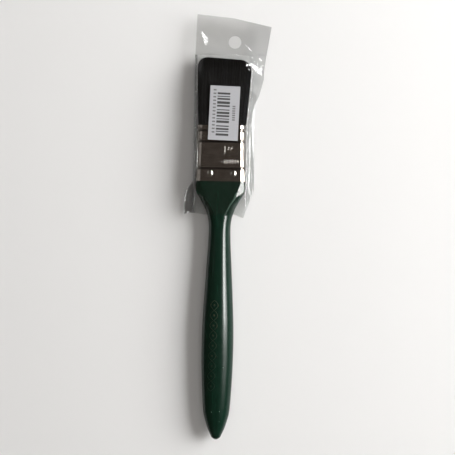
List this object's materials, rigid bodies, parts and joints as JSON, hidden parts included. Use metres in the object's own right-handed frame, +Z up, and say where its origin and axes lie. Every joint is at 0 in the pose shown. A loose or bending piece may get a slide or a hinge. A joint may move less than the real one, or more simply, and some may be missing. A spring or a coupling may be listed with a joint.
{
  "type": "flat paint brush in a hanging film sleeve",
  "caption": "Flat paint brush with lacquered wooden handle, nailed steel ferrule and black nylon filaments, in a clear pull-off sleeve with a punched hanging header.",
  "frame": {"origin": "on the brush's centreline, on the surface that it lies on, below the edge where the ferrule meets the handle; this is a point of the sleeve's flat underside", "axes": "+Z up, out of the brush's front face; +Y along the brush from the handle to the filament tips; +X to the right, seen from above with the tips away from the viewer"},
  "size_m": [0.0437, 0.2195, 0.0107],
  "materials": {
    "lacquered_wood": "dark green gloss lacquer",
    "plated_steel": "bright plated, fine drawn grain",
    "nail_steel": "plated",
    "bare_wood": "sawn, unfinished",
    "cast_resin": "cured, amber",
    "nylon_filament": "black, satin",
    "clear_film": "clear, creased",
    "label_paper": "coated white, printed bars"
  },
  "bodies": {
    "brush": {"handle": "lacquered_wood", "ferrule": "plated_steel", "nail_front_left": "nail_steel", "nail_front_right": "nail_steel", "nail_rear_left": "nail_steel", "nail_rear_right": "nail_steel", "spacer_plug": "bare_wood", "resin_setting": "cast_resin", "filament_bank_front": "nylon_filament", "filament_bank_rear": "nylon_filament"},
    "sleeve": {"sleeve_front_film": "clear_film", "sleeve_back_film": "clear_film", "hang_header": "clear_film", "barcode_label": "label_paper"}
  },
  "joints": [
    {"name": "sleeve_slide", "type": "slide", "parent": "brush", "child": "sleeve", "axis": [0, 1, 0], "range_m": [0, 0.09]}
  ]
}
